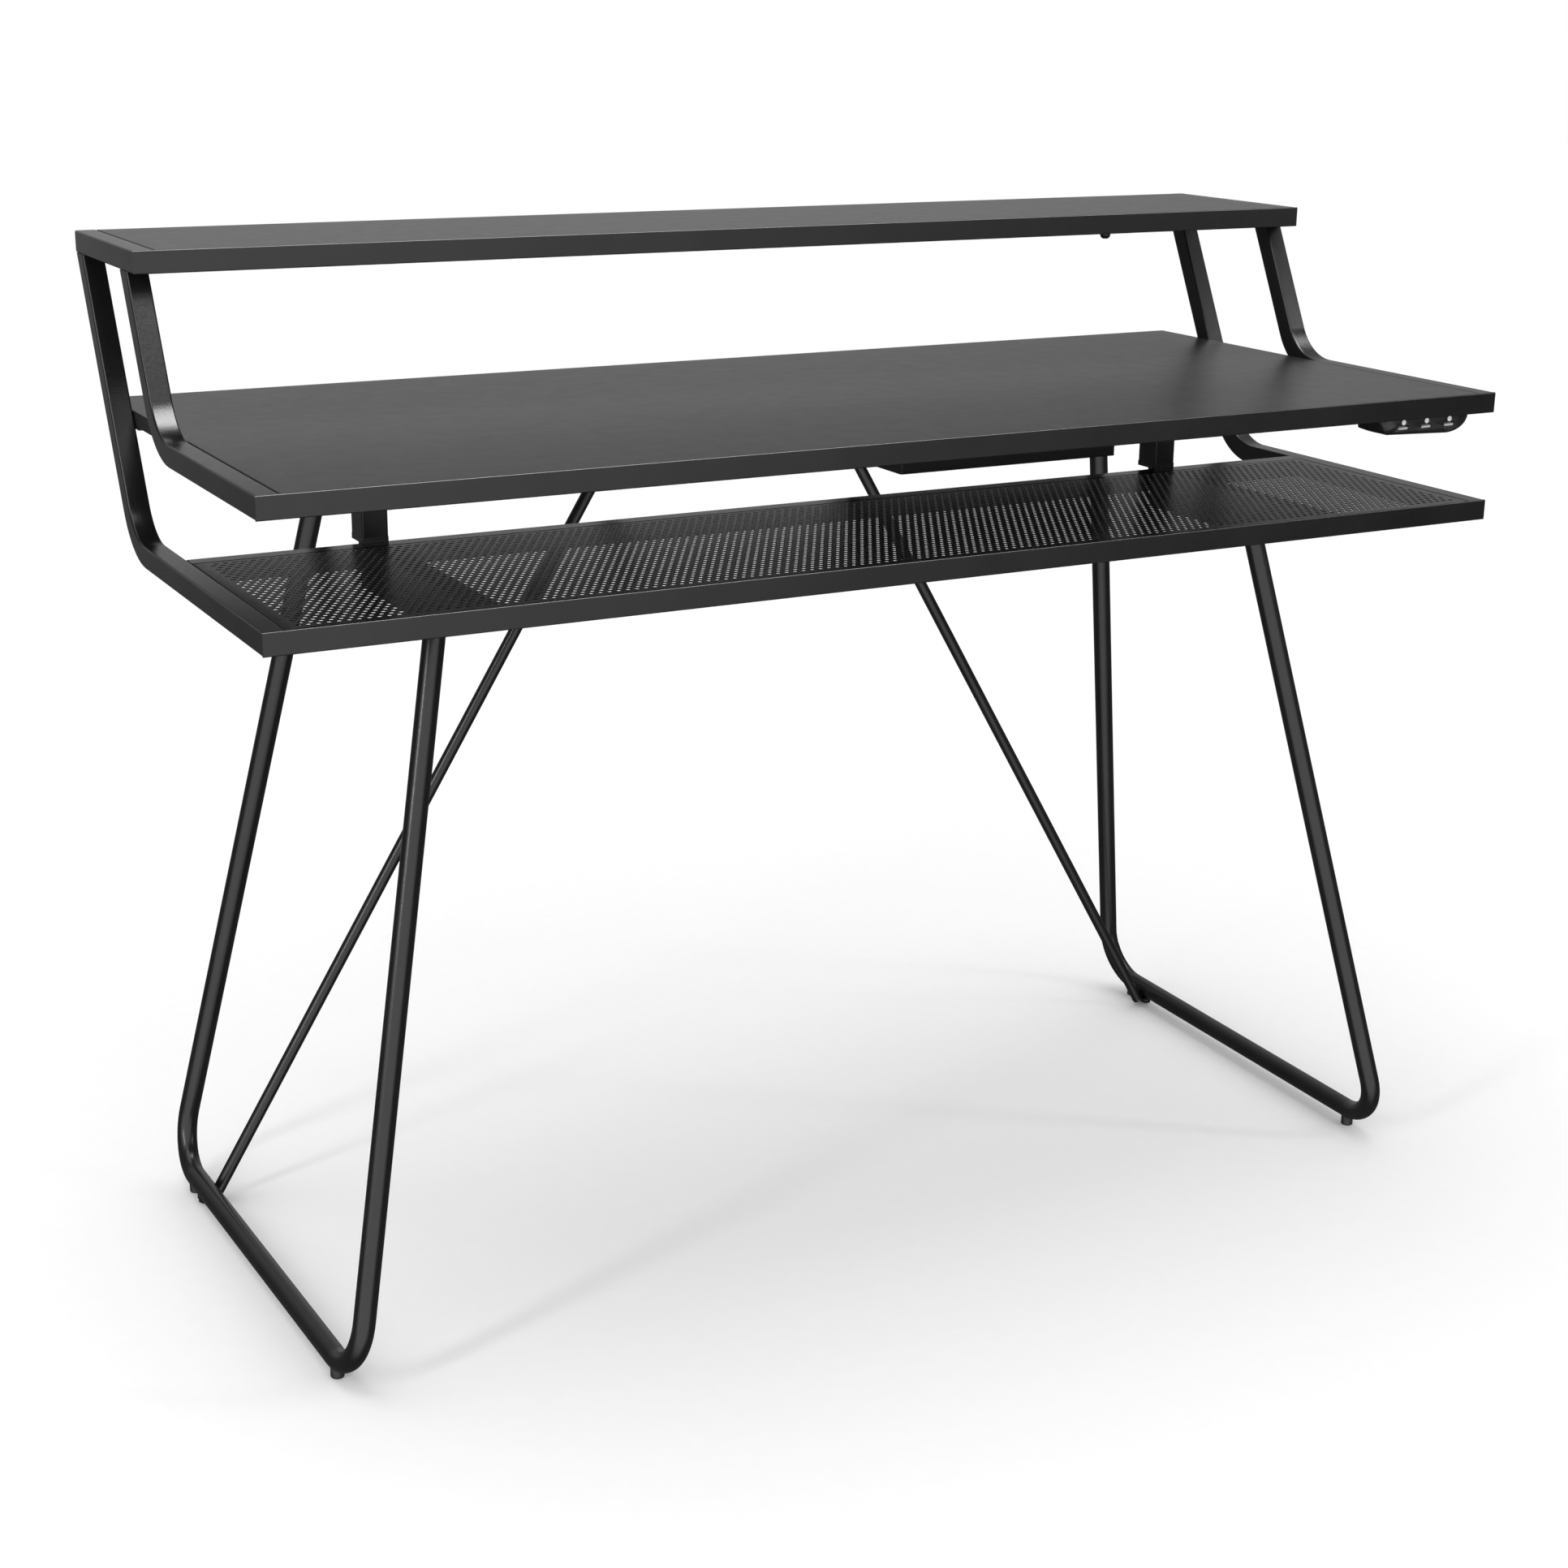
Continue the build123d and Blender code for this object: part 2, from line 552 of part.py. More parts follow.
# ---------------------------------------------------------------- cable box
box_x = (BOX[0], BOX[0] + BOX[2])
box_depths = (BOX[1], BOX[1] + BOX[3])
box_z = (BOARD_BOTTOM - BOX[4], BOARD_BOTTOM)
with BuildPart() as cable_box:
    middle = ((box_x[0] + box_x[1]) / 2, back(sum(box_depths) / 2))
    with BuildSketch(Plane.XY.offset(box_z[0])):
        with Locations(middle):
            RectangleRounded(BOX[2], BOX[3], 2.0)
    extrude(amount=BOX[4])
    with BuildSketch(Plane.XY.offset(box_z[0] + SHEET)):
        with Locations(middle):
            RectangleRounded(BOX[2] - 2 * SHEET, BOX[3] - 2 * SHEET, 0.5)
    extrude(amount=BOX[4], mode=Mode.SUBTRACT)
    # the flanges
    block((box_x[0] - FLANGE, box_x[0] + SHEET), box_depths, (box_z[1] - SHEET, box_z[1]))
    block((box_x[1] - SHEET, box_x[1] + FLANGE), box_depths, (box_z[1] - SHEET, box_z[1]))
    # cable outlet in the back wall
    with Locations(((box_x[0] + box_x[1]) / 2, back(box_depths[1]), box_z[0] + 40.0)):
        Box(60.0, 8.0, 24.0, mode=Mode.SUBTRACT)
    drill(BOX_SCREWS, SCREW_HOLE, box_z[1] - SHEET, SHEET)
finish(cable_box, "cable_box")

box_screw = pan_screw(8.0, 2.4, SCREW_SHANK, SHEET + SCREW_BITE - 0.5)
with BuildPart() as cable_box_screws:
    for screw_x, screw_depth in BOX_SCREWS:
        with Locations((screw_x, back(screw_depth), box_z[1] - SHEET)):
            add(box_screw)
finish(cable_box_screws, "cable_box_screws")

# ---------------------------------------------------------------- USB hub
HUB_WALL = 2.0
hub_bottom = BOARD_BOTTOM - 24.0
hub_top = BOARD_BOTTOM - HUB_WALL
HUB_RISE = 4.6  # how much the underside climbs towards the back
CORNER_WIDTH = 26.0
CORNER_HEIGHT = 16.0
port_xs = [PORT_X + PORT_PITCH * step for step in (-1, 0, 1)]
hub_back = HUB_FRONT + HUB_LENGTH
HUB_TAPER = 2.6  # how much the underside climbs towards the left end
HUB_LEFT_CORNER = 4.5
SOCKET = (13.2, 4.6)
SOCKET_SET_BACK = 0.4
TONGUE = (11.0, 2.6)
TONGUE_SET_BACK = 0.7
MARK_RISE = 5.1  # height of the round marks above the sockets
MARK_RADIUS = 2.5


def hub_shell(inset):
    """Solid of the hub's outline, set in from its front, back, ends and underside."""
    left = HUB_X[0] + 1.0 + inset
    right = HUB_X[1] - inset
    base = hub_bottom + inset
    width = CORNER_WIDTH - inset
    height = CORNER_HEIGHT - inset
    corner = base + HUB_TAPER
    with BuildPart() as shell:
        with BuildSketch(Plane.XZ.offset(-back(hub_back - inset))):
            with BuildLine():
                Line((left + HUB_LEFT_CORNER, base + HUB_TAPER), (right - width, base))
                EllipticalCenterArc(
                    (right - width, base + height), width, height, start_angle=270, arc_size=90
                )
                Polyline((right, base + height), (right, hub_top), (left - 1.0, hub_top))
                Line((left - 1.0, hub_top), (left, corner + HUB_LEFT_CORNER))
                ThreePointArc(
                    (left, corner + HUB_LEFT_CORNER),
                    (left + 0.3 * HUB_LEFT_CORNER, corner + 0.3 * HUB_LEFT_CORNER),
                    (left + HUB_LEFT_CORNER, corner),
                )
            make_face()
        extrude(amount=HUB_LENGTH - 2 * inset)
        # the underside climbs towards the back
        with BuildSketch(Plane.YZ.offset(HUB_X[0] - 5)):
            with BuildLine():
                Polyline(
                    (back(HUB_FRONT), base - 5),
                    (back(HUB_FRONT), base),
                    (back(hub_back), base + HUB_RISE),
                    (back(hub_back), base - 5),
                    close=True,
                )
            make_face()
        extrude(amount=HUB_X[1] - HUB_X[0] + 12, mode=Mode.SUBTRACT)
    return shell.part


hub_outside = hub_shell(0.0)
hub_inside = hub_shell(HUB_WALL)
with BuildPart() as hub_housing:
    add(hub_outside)
    add(hub_inside, mode=Mode.SUBTRACT)
    for port in port_xs:
        with Locations((port, back(HUB_FRONT), PORT_Z)):
            Box(SOCKET[0] + 0.3, 8.0, SOCKET[1] + 0.3, mode=Mode.SUBTRACT)
        with Locations((port, back(HUB_FRONT) + 0.35, PORT_Z + MARK_RISE)):
            Cylinder(MARK_RADIUS + 0.05, 0.7, rotation=(90, 0, 0), mode=Mode.SUBTRACT)
finish(hub_housing, "hub_housing")

with BuildPart() as hub_lid:
    block(HUB_X, (HUB_FRONT, hub_back), (hub_top, BOARD_BOTTOM))
    drill(HUB_SCREWS, SCREW_HOLE, hub_top, HUB_WALL)
finish(hub_lid, "hub_lid")

with BuildPart() as hub_port_marks:
    for port in port_xs:
        with Locations((port, back(HUB_FRONT) + 0.3, PORT_Z + MARK_RISE)):
            Cylinder(MARK_RADIUS, 0.6, rotation=(90, 0, 0))
finish(hub_port_marks, "hub_port_marks")

SOCKET_LENGTH = 14.0
SOCKET_WALL = 0.4
with BuildPart() as usb_socket_shells:
    for port in port_xs:
        with BuildSketch(Plane.XZ.offset(-back(HUB_FRONT + SOCKET_SET_BACK))):
            with Locations((port, PORT_Z)):
                Rectangle(*SOCKET)
                Rectangle(SOCKET[0] - 2 * SOCKET_WALL, SOCKET[1] - 2 * SOCKET_WALL, mode=Mode.SUBTRACT)
        extrude(amount=-SOCKET_LENGTH)
        shell_back = HUB_FRONT + SOCKET_SET_BACK + SOCKET_LENGTH
        block(
            (port - SOCKET[0] / 2, port + SOCKET[0] / 2),
            (shell_back, shell_back + SOCKET_WALL),
            (PORT_Z - SOCKET[1] / 2, PORT_Z + SOCKET[1] / 2),
        )
finish(usb_socket_shells, "usb_socket_shells")

with BuildPart() as usb_socket_tongues:
    for port in port_xs:
        tongue_z = PORT_Z - SOCKET[1] / 2 + SOCKET_WALL
        block(
            (port - TONGUE[0] / 2, port + TONGUE[0] / 2),
            (HUB_FRONT + TONGUE_SET_BACK, HUB_FRONT + SOCKET_SET_BACK + SOCKET_LENGTH),
            (tongue_z, tongue_z + TONGUE[1]),
        )
finish(usb_socket_tongues, "usb_socket_tongues")

board_z = PORT_Z + SOCKET[1] / 2
with BuildPart() as hub_circuit_board:
    block((HUB_X[0] + 8, HUB_X[1] - 8), (HUB_FRONT + 5, hub_back - 5), (board_z, board_z + 1.6))
finish(hub_circuit_board, "hub_circuit_board")

INLET_X = 500.0
with BuildPart() as hub_power_inlet:
    with BuildSketch(Plane.XZ.offset(-back(hub_back - HUB_WALL - 0.1))):
        with Locations((INLET_X, hub_bottom + 13.5)):
            Rectangle(9.0, 9.0)
            Circle(3.2, mode=Mode.SUBTRACT)
    extrude(amount=2.5)
finish(hub_power_inlet, "hub_power_inlet")

hub_screw = pan_screw(6.4, 1.8, SCREW_SHANK, HUB_WALL + SCREW_BITE - 0.5)
with BuildPart() as hub_screws:
    for screw_x, screw_depth in HUB_SCREWS:
        with Locations((screw_x, back(screw_depth), hub_top)):
            add(hub_screw)
finish(hub_screws, "hub_screws")
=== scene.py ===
"""Looks of the computer desk: camera, finishes, perforated tray sheet, rounded edges, light."""

import json
from math import cos, pi, radians, sin, sqrt

import bpy
from mathutils import Matrix, Vector


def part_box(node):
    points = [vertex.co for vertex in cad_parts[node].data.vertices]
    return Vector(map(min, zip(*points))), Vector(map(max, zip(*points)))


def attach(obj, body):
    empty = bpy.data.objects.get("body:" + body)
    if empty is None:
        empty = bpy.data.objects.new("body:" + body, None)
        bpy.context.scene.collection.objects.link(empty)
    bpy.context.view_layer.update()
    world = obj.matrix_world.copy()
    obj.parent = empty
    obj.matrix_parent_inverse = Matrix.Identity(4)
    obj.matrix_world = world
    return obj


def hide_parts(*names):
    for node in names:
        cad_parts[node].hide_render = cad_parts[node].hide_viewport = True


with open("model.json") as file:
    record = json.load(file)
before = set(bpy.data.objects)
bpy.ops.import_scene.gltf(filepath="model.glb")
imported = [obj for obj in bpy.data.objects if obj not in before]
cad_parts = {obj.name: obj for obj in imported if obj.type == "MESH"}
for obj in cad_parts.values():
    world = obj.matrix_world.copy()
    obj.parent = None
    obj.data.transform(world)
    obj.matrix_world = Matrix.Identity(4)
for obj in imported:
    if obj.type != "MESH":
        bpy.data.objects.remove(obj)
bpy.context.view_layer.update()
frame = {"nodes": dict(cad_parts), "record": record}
NODES = frame["nodes"]
SCENE = bpy.context.scene
MM = 0.001

# ---------------------------------------------------------------- camera
CAMERA_PLACE = Vector((-1.1278, -2.0301, 1.1289))
CAMERA_YAW = -0.499
CAMERA_PITCH = -0.306
CAMERA_ROLL = 0.012
CAMERA_LENS = 58.04
SENSOR = 36.0

camera_data = bpy.data.cameras.new("camera")
camera_data.lens = CAMERA_LENS
camera_data.sensor_width = SENSOR
camera_data.clip_start = 0.05
camera_data.clip_end = 60.0
camera = bpy.data.objects.new("camera", camera_data)
turn = (
    Matrix.Rotation(CAMERA_YAW, 4, "Z")
    @ Matrix.Rotation(pi / 2 + CAMERA_PITCH, 4, "X")
    @ Matrix.Rotation(CAMERA_ROLL, 4, "Z")
)
camera.matrix_world = Matrix.Translation(CAMERA_PLACE) @ turn
SCENE.collection.objects.link(camera)
SCENE.camera = camera
SCENE.view_settings.view_transform = "Standard"


# ---------------------------------------------------------------- materials
def new_material(name):
    """A node material with only its output and Principled shader."""
    material = bpy.data.materials.new(name)
    material.use_nodes = True
    shader = material.node_tree.nodes["Principled BSDF"]
    return material, material.node_tree, shader


def noise(tree, scale, detail=2.0, roughness=0.5, stretch=(1, 1, 1)):
    """Noise over the object's own coordinates, in features per metre."""
    place = tree.nodes.new("ShaderNodeTexCoord")
    mapping = tree.nodes.new("ShaderNodeMapping")
    mapping.inputs["Scale"].default_value = stretch
    texture = tree.nodes.new("ShaderNodeTexNoise")
    texture.inputs["Scale"].default_value = scale
    texture.inputs["Detail"].default_value = detail
    texture.inputs["Roughness"].default_value = roughness
    tree.links.new(place.outputs["Object"], mapping.inputs["Vector"])
    tree.links.new(mapping.outputs["Vector"], texture.inputs["Vector"])
    return texture.outputs["Fac"]


def spread(tree, value, low, high, low_in=0.3, high_in=0.7):
    """Maps a value between low_in and high_in to a range, and stops at its ends."""
    node = tree.nodes.new("ShaderNodeMapRange")
    node.inputs["From Min"].default_value = low_in
    node.inputs["From Max"].default_value = high_in
    node.inputs["To Min"].default_value = low
    node.inputs["To Max"].default_value = high
    tree.links.new(value, node.inputs["Value"])
    return node.outputs["Result"]


def ramp(tree, value, *stops):
    """Colour ramp with two (place, colour) stops."""
    node = tree.nodes.new("ShaderNodeValToRGB")
    for element, (place, colour) in zip(node.color_ramp.elements, stops):
        element.position = place
        element.color = (*colour, 1)
    tree.links.new(value, node.inputs["Fac"])
    return node.outputs["Color"]


def bump(tree, shader, height, strength, distance, normal=None):
    """Bump from a height, put on the shader; returns its normal for another bump."""
    node = tree.nodes.new("ShaderNodeBump")
    node.inputs["Strength"].default_value = strength
    node.inputs["Distance"].default_value = distance
    tree.links.new(height, node.inputs["Height"])
    if normal is not None:
        tree.links.new(normal, node.inputs["Normal"])
    tree.links.new(node.outputs["Normal"], shader.inputs["Normal"])
    return node.outputs["Normal"]


def grey(value, blue=1.03):
    """Nearly neutral dark colour."""
    return (value, value, value * blue)


def powder_coat(name, dark=0.006, light=0.010, rough=(0.20, 0.27)):
    """Satin black powder coat: orange peel, fine grain and faint dust in the colour."""
    material, tree, shader = new_material(name)
    cloud = noise(tree, 14.0, detail=4.0, roughness=0.6)
    colour = ramp(tree, cloud, (0.35, grey(dark)), (0.7, grey(light)))
    tree.links.new(colour, shader.inputs["Base Color"])
    fine = noise(tree, 420.0, detail=3.0)
    tree.links.new(spread(tree, fine, *rough), shader.inputs["Roughness"])
    orange_peel = noise(tree, 620.0, detail=1.0)
    normal = bump(tree, shader, orange_peel, 0.16, 0.0004)
    grain = noise(tree, 2600.0, detail=1.0)
    bump(tree, shader, grain, 0.12, 0.0001, normal)
    return material


def laminate(name):
    """Black laminate with a fine pressed texture, rubbed slightly smoother in places."""
    material, tree, shader = new_material(name)
    cloud = noise(tree, 40.0, detail=5.0, roughness=0.55)
    colour = ramp(tree, cloud, (0.3, grey(0.012, 1.0)), (0.72, grey(0.017, 1.0)))
    tree.links.new(colour, shader.inputs["Base Color"])
    rub = noise(tree, 60.0, detail=3.0)
    tree.links.new(spread(tree, rub, 0.30, 0.33), shader.inputs["Roughness"])
    pores = noise(tree, 1500.0, detail=2.0)
    normal = bump(tree, shader, pores, 0.22, 0.0002)
    fine = noise(tree, 4200.0, detail=1.0)
    bump(tree, shader, fine, 0.15, 0.0001, normal)
    return material


def plastic(name, dark, light, rough, grain_scale=1800.0, grain=0.2):
    """Moulded plastic with a fine grain."""
    material, tree, shader = new_material(name)
    cloud = noise(tree, 30.0, detail=3.0)
    tree.links.new(ramp(tree, cloud, (0.3, dark), (0.7, light)), shader.inputs["Base Color"])
    fine = noise(tree, 300.0, detail=2.0)
    tree.links.new(spread(tree, fine, rough - 0.04, rough + 0.04), shader.inputs["Roughness"])
    bump(tree, shader, noise(tree, grain_scale, detail=2.0), grain, 0.0002)
    return material


def metal(name, colour, rough):
    """Plated metal with fine drawn lines."""
    material, tree, shader = new_material(name)
    shader.inputs["Metallic"].default_value = 1.0
    cloud = noise(tree, 90.0, detail=3.0)
    darker = tuple(c * 0.8 for c in colour)
    tree.links.new(ramp(tree, cloud, (0.3, darker), (0.7, colour)), shader.inputs["Base Color"])
    lines = noise(tree, 900.0, detail=2.0, stretch=(1, 1, 12))
    tree.links.new(spread(tree, lines, rough - 0.06, rough + 0.08), shader.inputs["Roughness"])
    bump(tree, shader, lines, 0.15, 0.0001)
    return material


def circuit_material(name):
    """Green solder mask with faint copper tracks under it."""
    material, tree, shader = new_material(name)
    place = tree.nodes.new("ShaderNodeTexCoord")
    bricks = tree.nodes.new("ShaderNodeTexBrick")
    bricks.inputs["Scale"].default_value = 160.0
    bricks.inputs["Mortar Size"].default_value = 0.06
    bricks.inputs["Color1"].default_value = (0.006, 0.060, 0.022, 1)
    bricks.inputs["Color2"].default_value = (0.005, 0.048, 0.018, 1)
    bricks.inputs["Mortar"].default_value = (0.02, 0.13, 0.05, 1)
    tree.links.new(place.outputs["Object"], bricks.inputs["Vector"])
    tree.links.new(bricks.outputs["Color"], shader.inputs["Base Color"])
    shader.inputs["Roughness"].default_value = 0.35
    bump(tree, shader, bricks.outputs["Fac"], 0.3, 0.0001)
    return material


MATERIALS = {
    "black_powder_coat": powder_coat("black_powder_coat"),
    "coated_sheet_steel": powder_coat("coated_sheet_steel", 0.007, 0.011, (0.26, 0.34)),
    "black_laminated_board": laminate("black_laminated_board"),
    "edge_banding": plastic("edge_banding", grey(0.011), grey(0.016), 0.42, 900.0),
    "black_plastic": plastic("black_plastic", grey(0.010), grey(0.016), 0.5),
    "glide_plastic": plastic("glide_plastic", grey(0.008), grey(0.014), 0.55),
    "black_fasteners": metal("black_fasteners", (0.05, 0.05, 0.052), 0.4),
    "hub_plastic": plastic("hub_plastic", grey(0.010), grey(0.014), 0.34, 2400.0, 0.25),
    "white_plastic": plastic(
        "white_plastic", (0.78, 0.78, 0.76), (0.86, 0.86, 0.84), 0.3, 1200.0, 0.05
    ),
    "plated_steel": metal("plated_steel", (0.62, 0.62, 0.63), 0.25),
    "circuit_board": circuit_material("circuit_board"),
}

NODE_SHARP_ANGLE = radians(50)
slots = {s["node"]: s["material_slot"] for s in frame["record"]["subparts"]}
for name, node in NODES.items():
    node.data.materials.clear()
    node.data.materials.append(MATERIALS[slots[name]])
    node.data.shade_smooth()
    node.data.set_sharp_from_angle(angle=NODE_SHARP_ANGLE)


# ---------------------------------------------------------------- tray sheet
SHEET_SHARP_ANGLE = radians(30)


def make_piece(name, verts, faces, slot_name, body="root"):
    """A mesh piece that rides on the desk, with the finish of a material slot."""
    mesh = bpy.data.meshes.new(name)
    mesh.from_pydata(verts, [], faces)
    mesh.update()
    mesh.shade_smooth()
    mesh.set_sharp_from_angle(angle=SHEET_SHARP_ANGLE)
    mesh.materials.append(MATERIALS[slot_name])
    piece = bpy.data.objects.new(name, mesh)
    SCENE.collection.objects.link(piece)
    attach(piece, body)
    return piece


SHEET_THICKNESS = 0.7 * MM
HOLE_PITCH = 8.0 * MM
HOLE_RADIUS = 2.35 * MM
HOLE_SIDES = 12
END_MARGIN = 8.0 * MM  # plain sheet beyond the first cell of each row
FRONT_MARGIN = 7.5 * MM  # plain sheet before the first row
ROW_MARGINS = 1.4 * FRONT_MARGIN  # at least this much plain sheet before and behind the rows
FOLD_RADIUS = 0.8 * MM  # outside radius of the folds at the ends


def perforated_sheet(node):
    """Folded sheet with staggered round holes, built cell by cell like brickwork."""
    low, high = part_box(node)
    row_step = HOLE_PITCH * sqrt(3) / 2
    columns = int((high.x - low.x - 2 * END_MARGIN) / HOLE_PITCH)
    rows = int((high.y - low.y - ROW_MARGINS) / row_step)
    start_x = (low.x + high.x - columns * HOLE_PITCH) / 2
    start_y = low.y + FRONT_MARGIN
    top, under = high.z, high.z - SHEET_THICKNESS
    lattice_x = [start_x + HOLE_PITCH / 2 * k for k in range(2 * columns + 1)]
    grid_y = [low.y, *(start_y + row_step * j for j in range(rows + 1)), high.y]
    verts, faces = [], []

    def grid(inset, z):
        """Vertices of one face of the sheet, as grid[column][row]."""
        columns_x = [low.x + inset, *lattice_x, high.x - inset]
        first = len(verts)
        verts.extend((x, y, z) for x in columns_x for y in grid_y)
        return [
            [first + column * len(grid_y) + row for row in range(len(grid_y))]
            for column in range(len(columns_x))
        ]

    upper, lower = grid(FOLD_RADIUS, top), grid(SHEET_THICKNESS, under)
    last = len(upper) - 1

    def plain(start, stop, row):
        """A face without a hole between two columns, on the upper side and on the lower side."""
        span = range(start, stop + 1)
        loop = [(a, row) for a in span] + [(a, row + 1) for a in reversed(span)]
        faces.append([upper[a][b] for a, b in loop])
        faces.append([lower[a][b] for a, b in reversed(loop)])

    for row in range(rows):
        b = row + 1
        shift = row % 2
        for column in range(columns - shift):
            a = 1 + 2 * column + shift
            edge = [(a, b), (a + 1, b), (a + 2, b), (a + 2, b + 1), (a + 1, b + 1), (a, b + 1)]
            centre_x = verts[upper[a + 1][b]][0]
            centre_y = (grid_y[b] + grid_y[b + 1]) / 2
            rim = len(verts)
            for z in (top, under):
                for side in range(HOLE_SIDES):
                    angle = radians(-150 + 360 / HOLE_SIDES * side)
                    rim_x = centre_x + HOLE_RADIUS * cos(angle)
                    rim_y = centre_y + HOLE_RADIUS * sin(angle)
                    verts.append((rim_x, rim_y, z))
            for sector in range(6):
                p, q = edge[sector], edge[(sector + 1) % 6]
                arc = [(2 * sector + step) % HOLE_SIDES for step in (2, 1, 0)]
                faces.append([upper[p[0]][p[1]], upper[q[0]][q[1]], *(rim + c for c in arc)])
                below = [rim + HOLE_SIDES + c for c in arc]
                faces.append([*reversed(below), lower[q[0]][q[1]], lower[p[0]][p[1]]])
            for side in range(HOLE_SIDES):
                after = (side + 1) % HOLE_SIDES
                faces.append(
                    [rim + side, rim + after, rim + HOLE_SIDES + after, rim + HOLE_SIDES + side]
                )
        plain(0, 1 + shift, b)
        plain(last - 1 - shift, last, b)
    end = len(grid_y) - 1
    for a in range(last):
        for b in (0, end - 1):
            plain(a, a + 1, b)
        faces.append([upper[a + 1][0], upper[a][0], lower[a][0], lower[a + 1][0]])
        faces.append([upper[a][end], upper[a + 1][end], lower[a + 1][end], lower[a][end]])

    # the ends fold down into lips
    for column, edge_x, inward in ((0, low.x, 1), (last, high.x, -1)):
        profile = [
            (
                edge_x + inward * FOLD_RADIUS * (1 - sin(radians(angle))),
                top - FOLD_RADIUS * (1 - cos(radians(angle))),
            )
            for angle in (30, 60, 90)
        ]
        profile += [(edge_x, low.z), (edge_x + inward * SHEET_THICKNESS, low.z)]
        bands = []
        for b, y in enumerate(grid_y):
            first = len(verts)
            verts.extend((x, y, z) for x, z in profile)
            bands.append(
                [upper[column][b], *range(first, first + len(profile)), lower[column][b]]
            )
        for near, far in zip(bands, bands[1:]):
            for i in range(len(near) - 1):
                quad = [near[i], far[i], far[i + 1], near[i + 1]]
                faces.append(quad[::inward])
        faces.append(bands[0][::inward])
        faces.append(bands[-1][::-inward])

    piece = make_piece("perforated_tray", verts, faces, "coated_sheet_steel")
    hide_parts(node)


perforated_sheet("tray_perforated_sheet")

# ---------------------------------------------------------------- rounded edges
WELD_DISTANCE = 0.00002
BEVEL_ANGLE = radians(40)


def weld(node):
    """Joins the doubled vertices along the edges of a node."""
    modifier = node.modifiers.new("weld", "WELD")
    modifier.merge_threshold = WELD_DISTANCE


def soften(name, width, segments=2):
    """Rounds the hard edges of a node by modifiers; the node's own mesh stays as it is."""
    node = NODES[name]
    weld(node)
    bevel = node.modifiers.new("bevel", "BEVEL")
    bevel.width = width
    bevel.segments = segments
    bevel.limit_method = "ANGLE"
    bevel.angle_limit = BEVEL_ANGLE
    bevel.use_clamp_overlap = True


for name in ("riser_front_rail", "worktop_front_rail", "tray_front_rail", "riser_rear_rail"):
    soften(name, 0.9 * MM, 3)
for name in ("riser_panel", "worktop_panel", "worktop_edge_band"):
    soften(name, 0.3 * MM)
for name in ("post_feet", "worktop_brackets", "beam_end_plugs", "riser_rail_end_caps"):
    soften(name, 0.4 * MM)
for name in ("cable_box", "hub_lid", "hub_circuit_board"):
    soften(name, 0.3 * MM)
# flat faces shade flat, and the rounded edges between them shade smoothly
for node in NODES.values():
    if "weld" not in node.modifiers:
        weld(node)
    weighted = node.modifiers.new("weighted", "WEIGHTED_NORMAL")
    weighted.keep_sharp = True

# ---------------------------------------------------------------- floor, light
FLOOR_REACH = 14.0
floor_corners = [
    (side_x * FLOOR_REACH, side_y * FLOOR_REACH, 0)
    for side_x, side_y in ((-1, -1), (1, -1), (1, 1), (-1, 1))
]
floor_mesh = bpy.data.meshes.new("floor")
floor_mesh.from_pydata(floor_corners, [], [(0, 1, 2, 3)])
floor = bpy.data.objects.new("floor", floor_mesh)
SCENE.collection.objects.link(floor)
floor_material, floor_tree, floor_shader = new_material("floor_paper")
floor_shader.inputs["Roughness"].default_value = 0.9
floor_shader.inputs["Specular IOR Level"].default_value = 0.1
fibres = noise(floor_tree, 60.0, detail=3.0)
paper = ramp(floor_tree, fibres, (0.3, (0.93, 0.93, 0.93)), (0.7, (0.94, 0.94, 0.94)))
floor_tree.links.new(paper, floor_shader.inputs["Base Color"])
floor_mesh.materials.append(floor_material)
floor.visible_glossy = False

# The world is white for the camera and even for diffuse light. For glossy rays it is a studio,
# brighter at the back and at the front left, with a small strong patch overhead.
FLOOR_LIGHT = 0.88  # strength for every ray that is neither the camera's nor glossy
world = bpy.data.worlds.new("studio")
world.use_nodes = True
SCENE.world = world
tree = world.node_tree
tree.nodes.clear()
direction = tree.nodes.new("ShaderNodeTexCoord")


def towards(aim, low, high, low_in, high_in):
    """Strength from low to high as the cosine between a ray and a direction grows."""
    node = tree.nodes.new("ShaderNodeVectorMath")
    node.operation = "DOT_PRODUCT"
    tree.links.new(direction.outputs["Generated"], node.inputs[0])
    node.inputs[1].default_value = Vector(aim).normalized()
    return spread(tree, node.outputs["Value"], low, high, low_in, high_in)


def plus(first, second):
    """Sum of two values."""
    node = tree.nodes.new("ShaderNodeMath")
    node.operation = "ADD"
    tree.links.new(first, node.inputs[0])
    tree.links.new(second, node.inputs[1])
    return node.outputs["Value"]


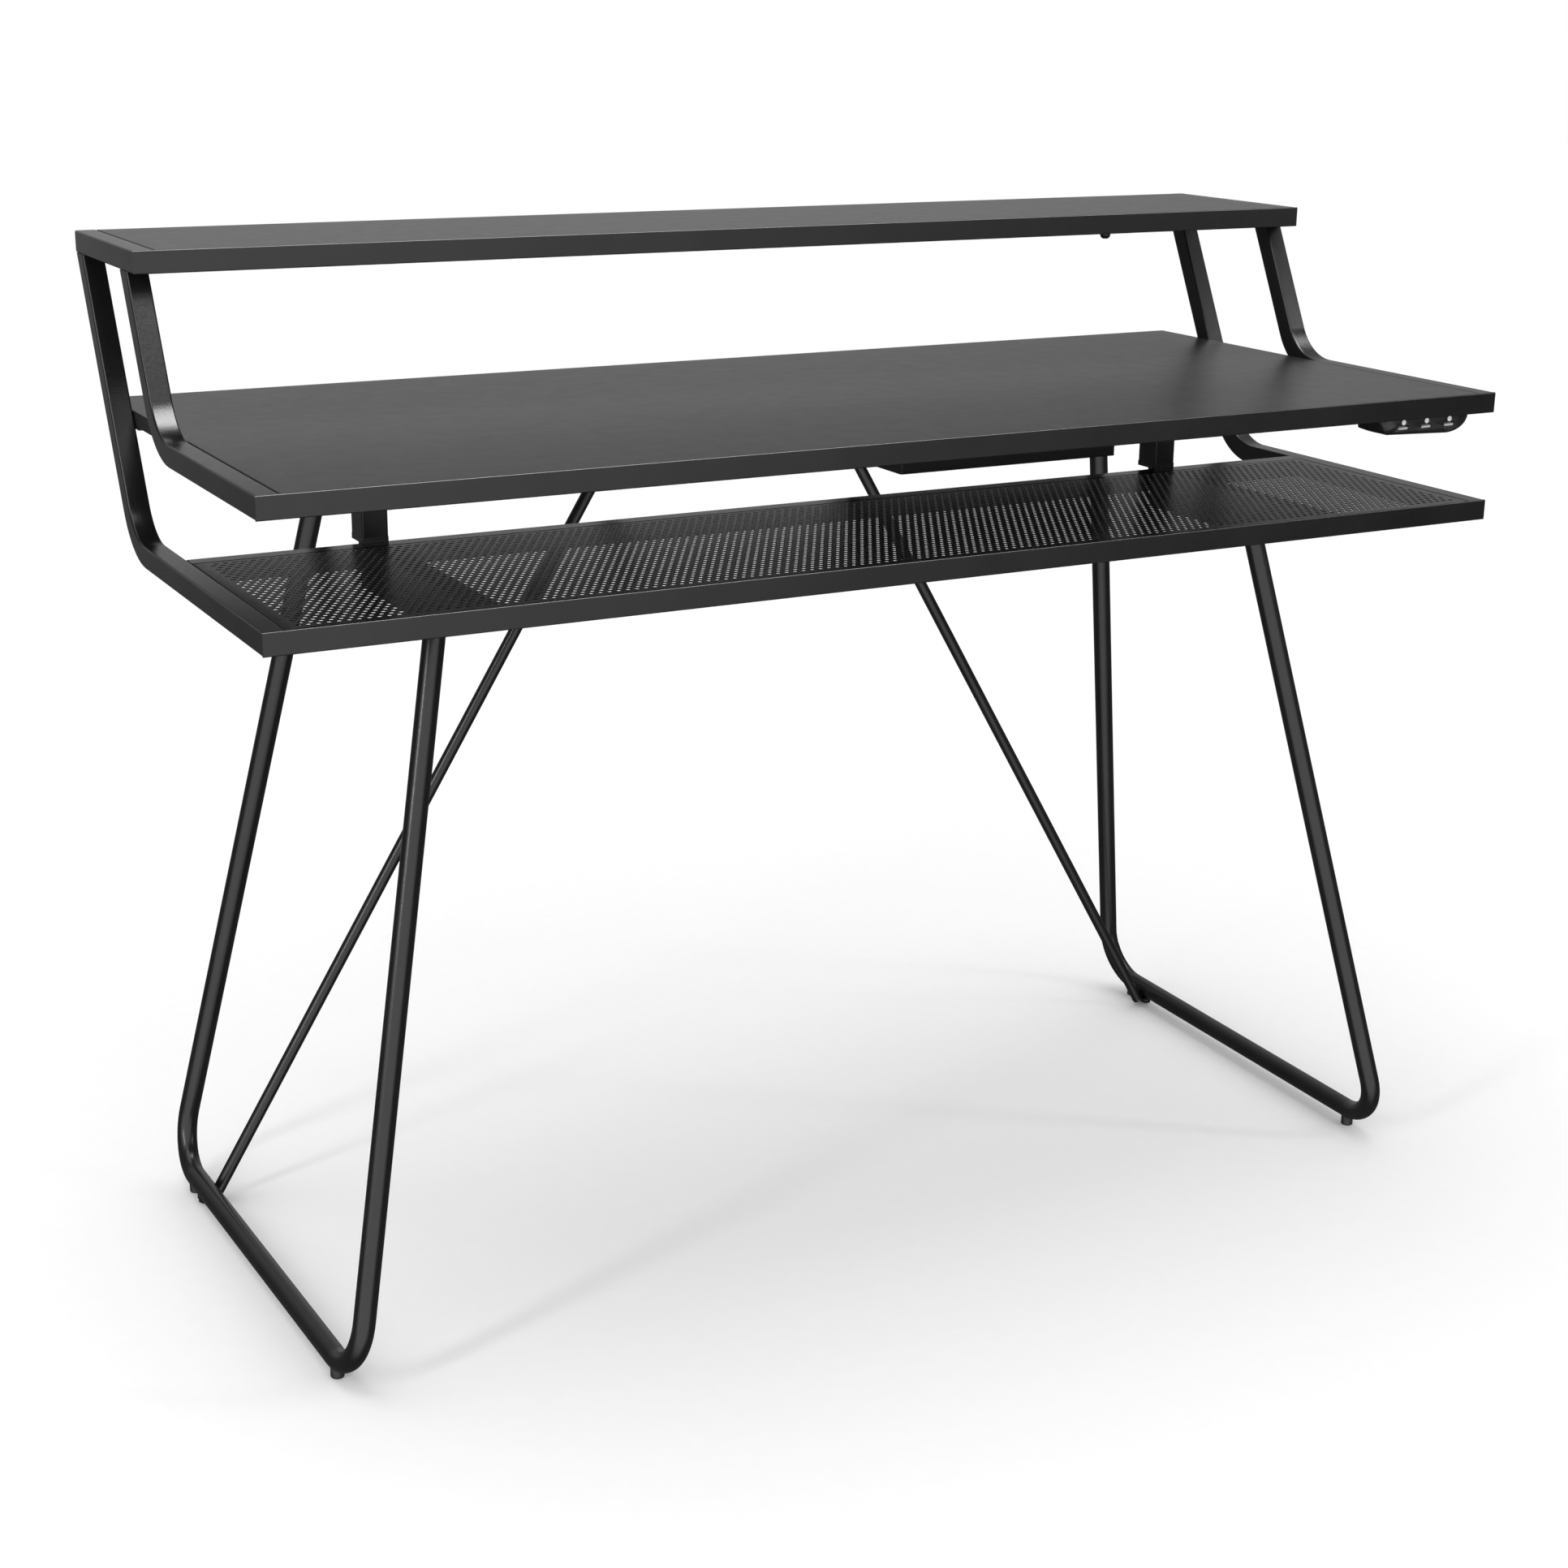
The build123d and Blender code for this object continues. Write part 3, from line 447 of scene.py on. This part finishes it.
back_wall = towards((0.25, 0.85, 0.45), low=0.08, high=0.47, low_in=0.60, high_in=0.95)
front_left = towards((-0.5, -0.85, 0.1), low=0.0, high=1.35, low_in=0.32, high_in=0.68)
ceiling = towards((0.28, -0.2, 0.94), low=0.0, high=15.0, low_in=0.90, high_in=0.98)
total = plus(plus(back_wall, front_left), ceiling)
ray = tree.nodes.new("ShaderNodeLightPath")


def sky(strength=1.0):
    """White background of a strength."""
    node = tree.nodes.new("ShaderNodeBackground")
    node.inputs["Color"].default_value = (1, 1, 1, 1)
    node.inputs["Strength"].default_value = strength
    return node


def choose(test, otherwise, when):
    """One of two skies, by the kind of ray."""
    node = tree.nodes.new("ShaderNodeMixShader")
    tree.links.new(ray.outputs[test], node.inputs["Fac"])
    tree.links.new(otherwise, node.inputs[1])
    tree.links.new(when, node.inputs[2])
    return node.outputs["Shader"]


mirrored = sky()
tree.links.new(total, mirrored.inputs["Strength"])
even = sky(FLOOR_LIGHT)
lit = choose("Is Glossy Ray", even.outputs["Background"], mirrored.outputs["Background"])
everything = choose("Is Camera Ray", lit, sky().outputs["Background"])
output = tree.nodes.new("ShaderNodeOutputWorld")
tree.links.new(everything, output.inputs["Surface"])


def area_light(name, place, aim, size, power):
    """Soft box pointing at a place."""
    data = bpy.data.lights.new(name, "AREA")
    data.shape = "RECTANGLE"
    data.size, data.size_y = size
    data.energy = power
    lamp = bpy.data.objects.new(name, data)
    lamp.location = place
    lamp.rotation_euler = (Vector(aim) - Vector(place)).to_track_quat("-Z", "Y").to_euler()
    SCENE.collection.objects.link(lamp)


overhead = bpy.data.lights.new("overhead", "SUN")
overhead.energy = 0.6
overhead.angle = radians(45)
overhead_lamp = bpy.data.objects.new("overhead", overhead)
overhead_lamp.rotation_euler = (radians(-8), radians(-6), 0)
SCENE.collection.objects.link(overhead_lamp)
area_light(
    "left_strip", place=(-2.6, -0.9, 1.5), aim=(-0.2, 0, 0.6), size=(0.25, 1.6), power=16.0
)
area_light("right_strip", place=(2.4, -1.6, 1.6), aim=(0.3, 0, 0.6), size=(0.2, 1.4), power=8.0)
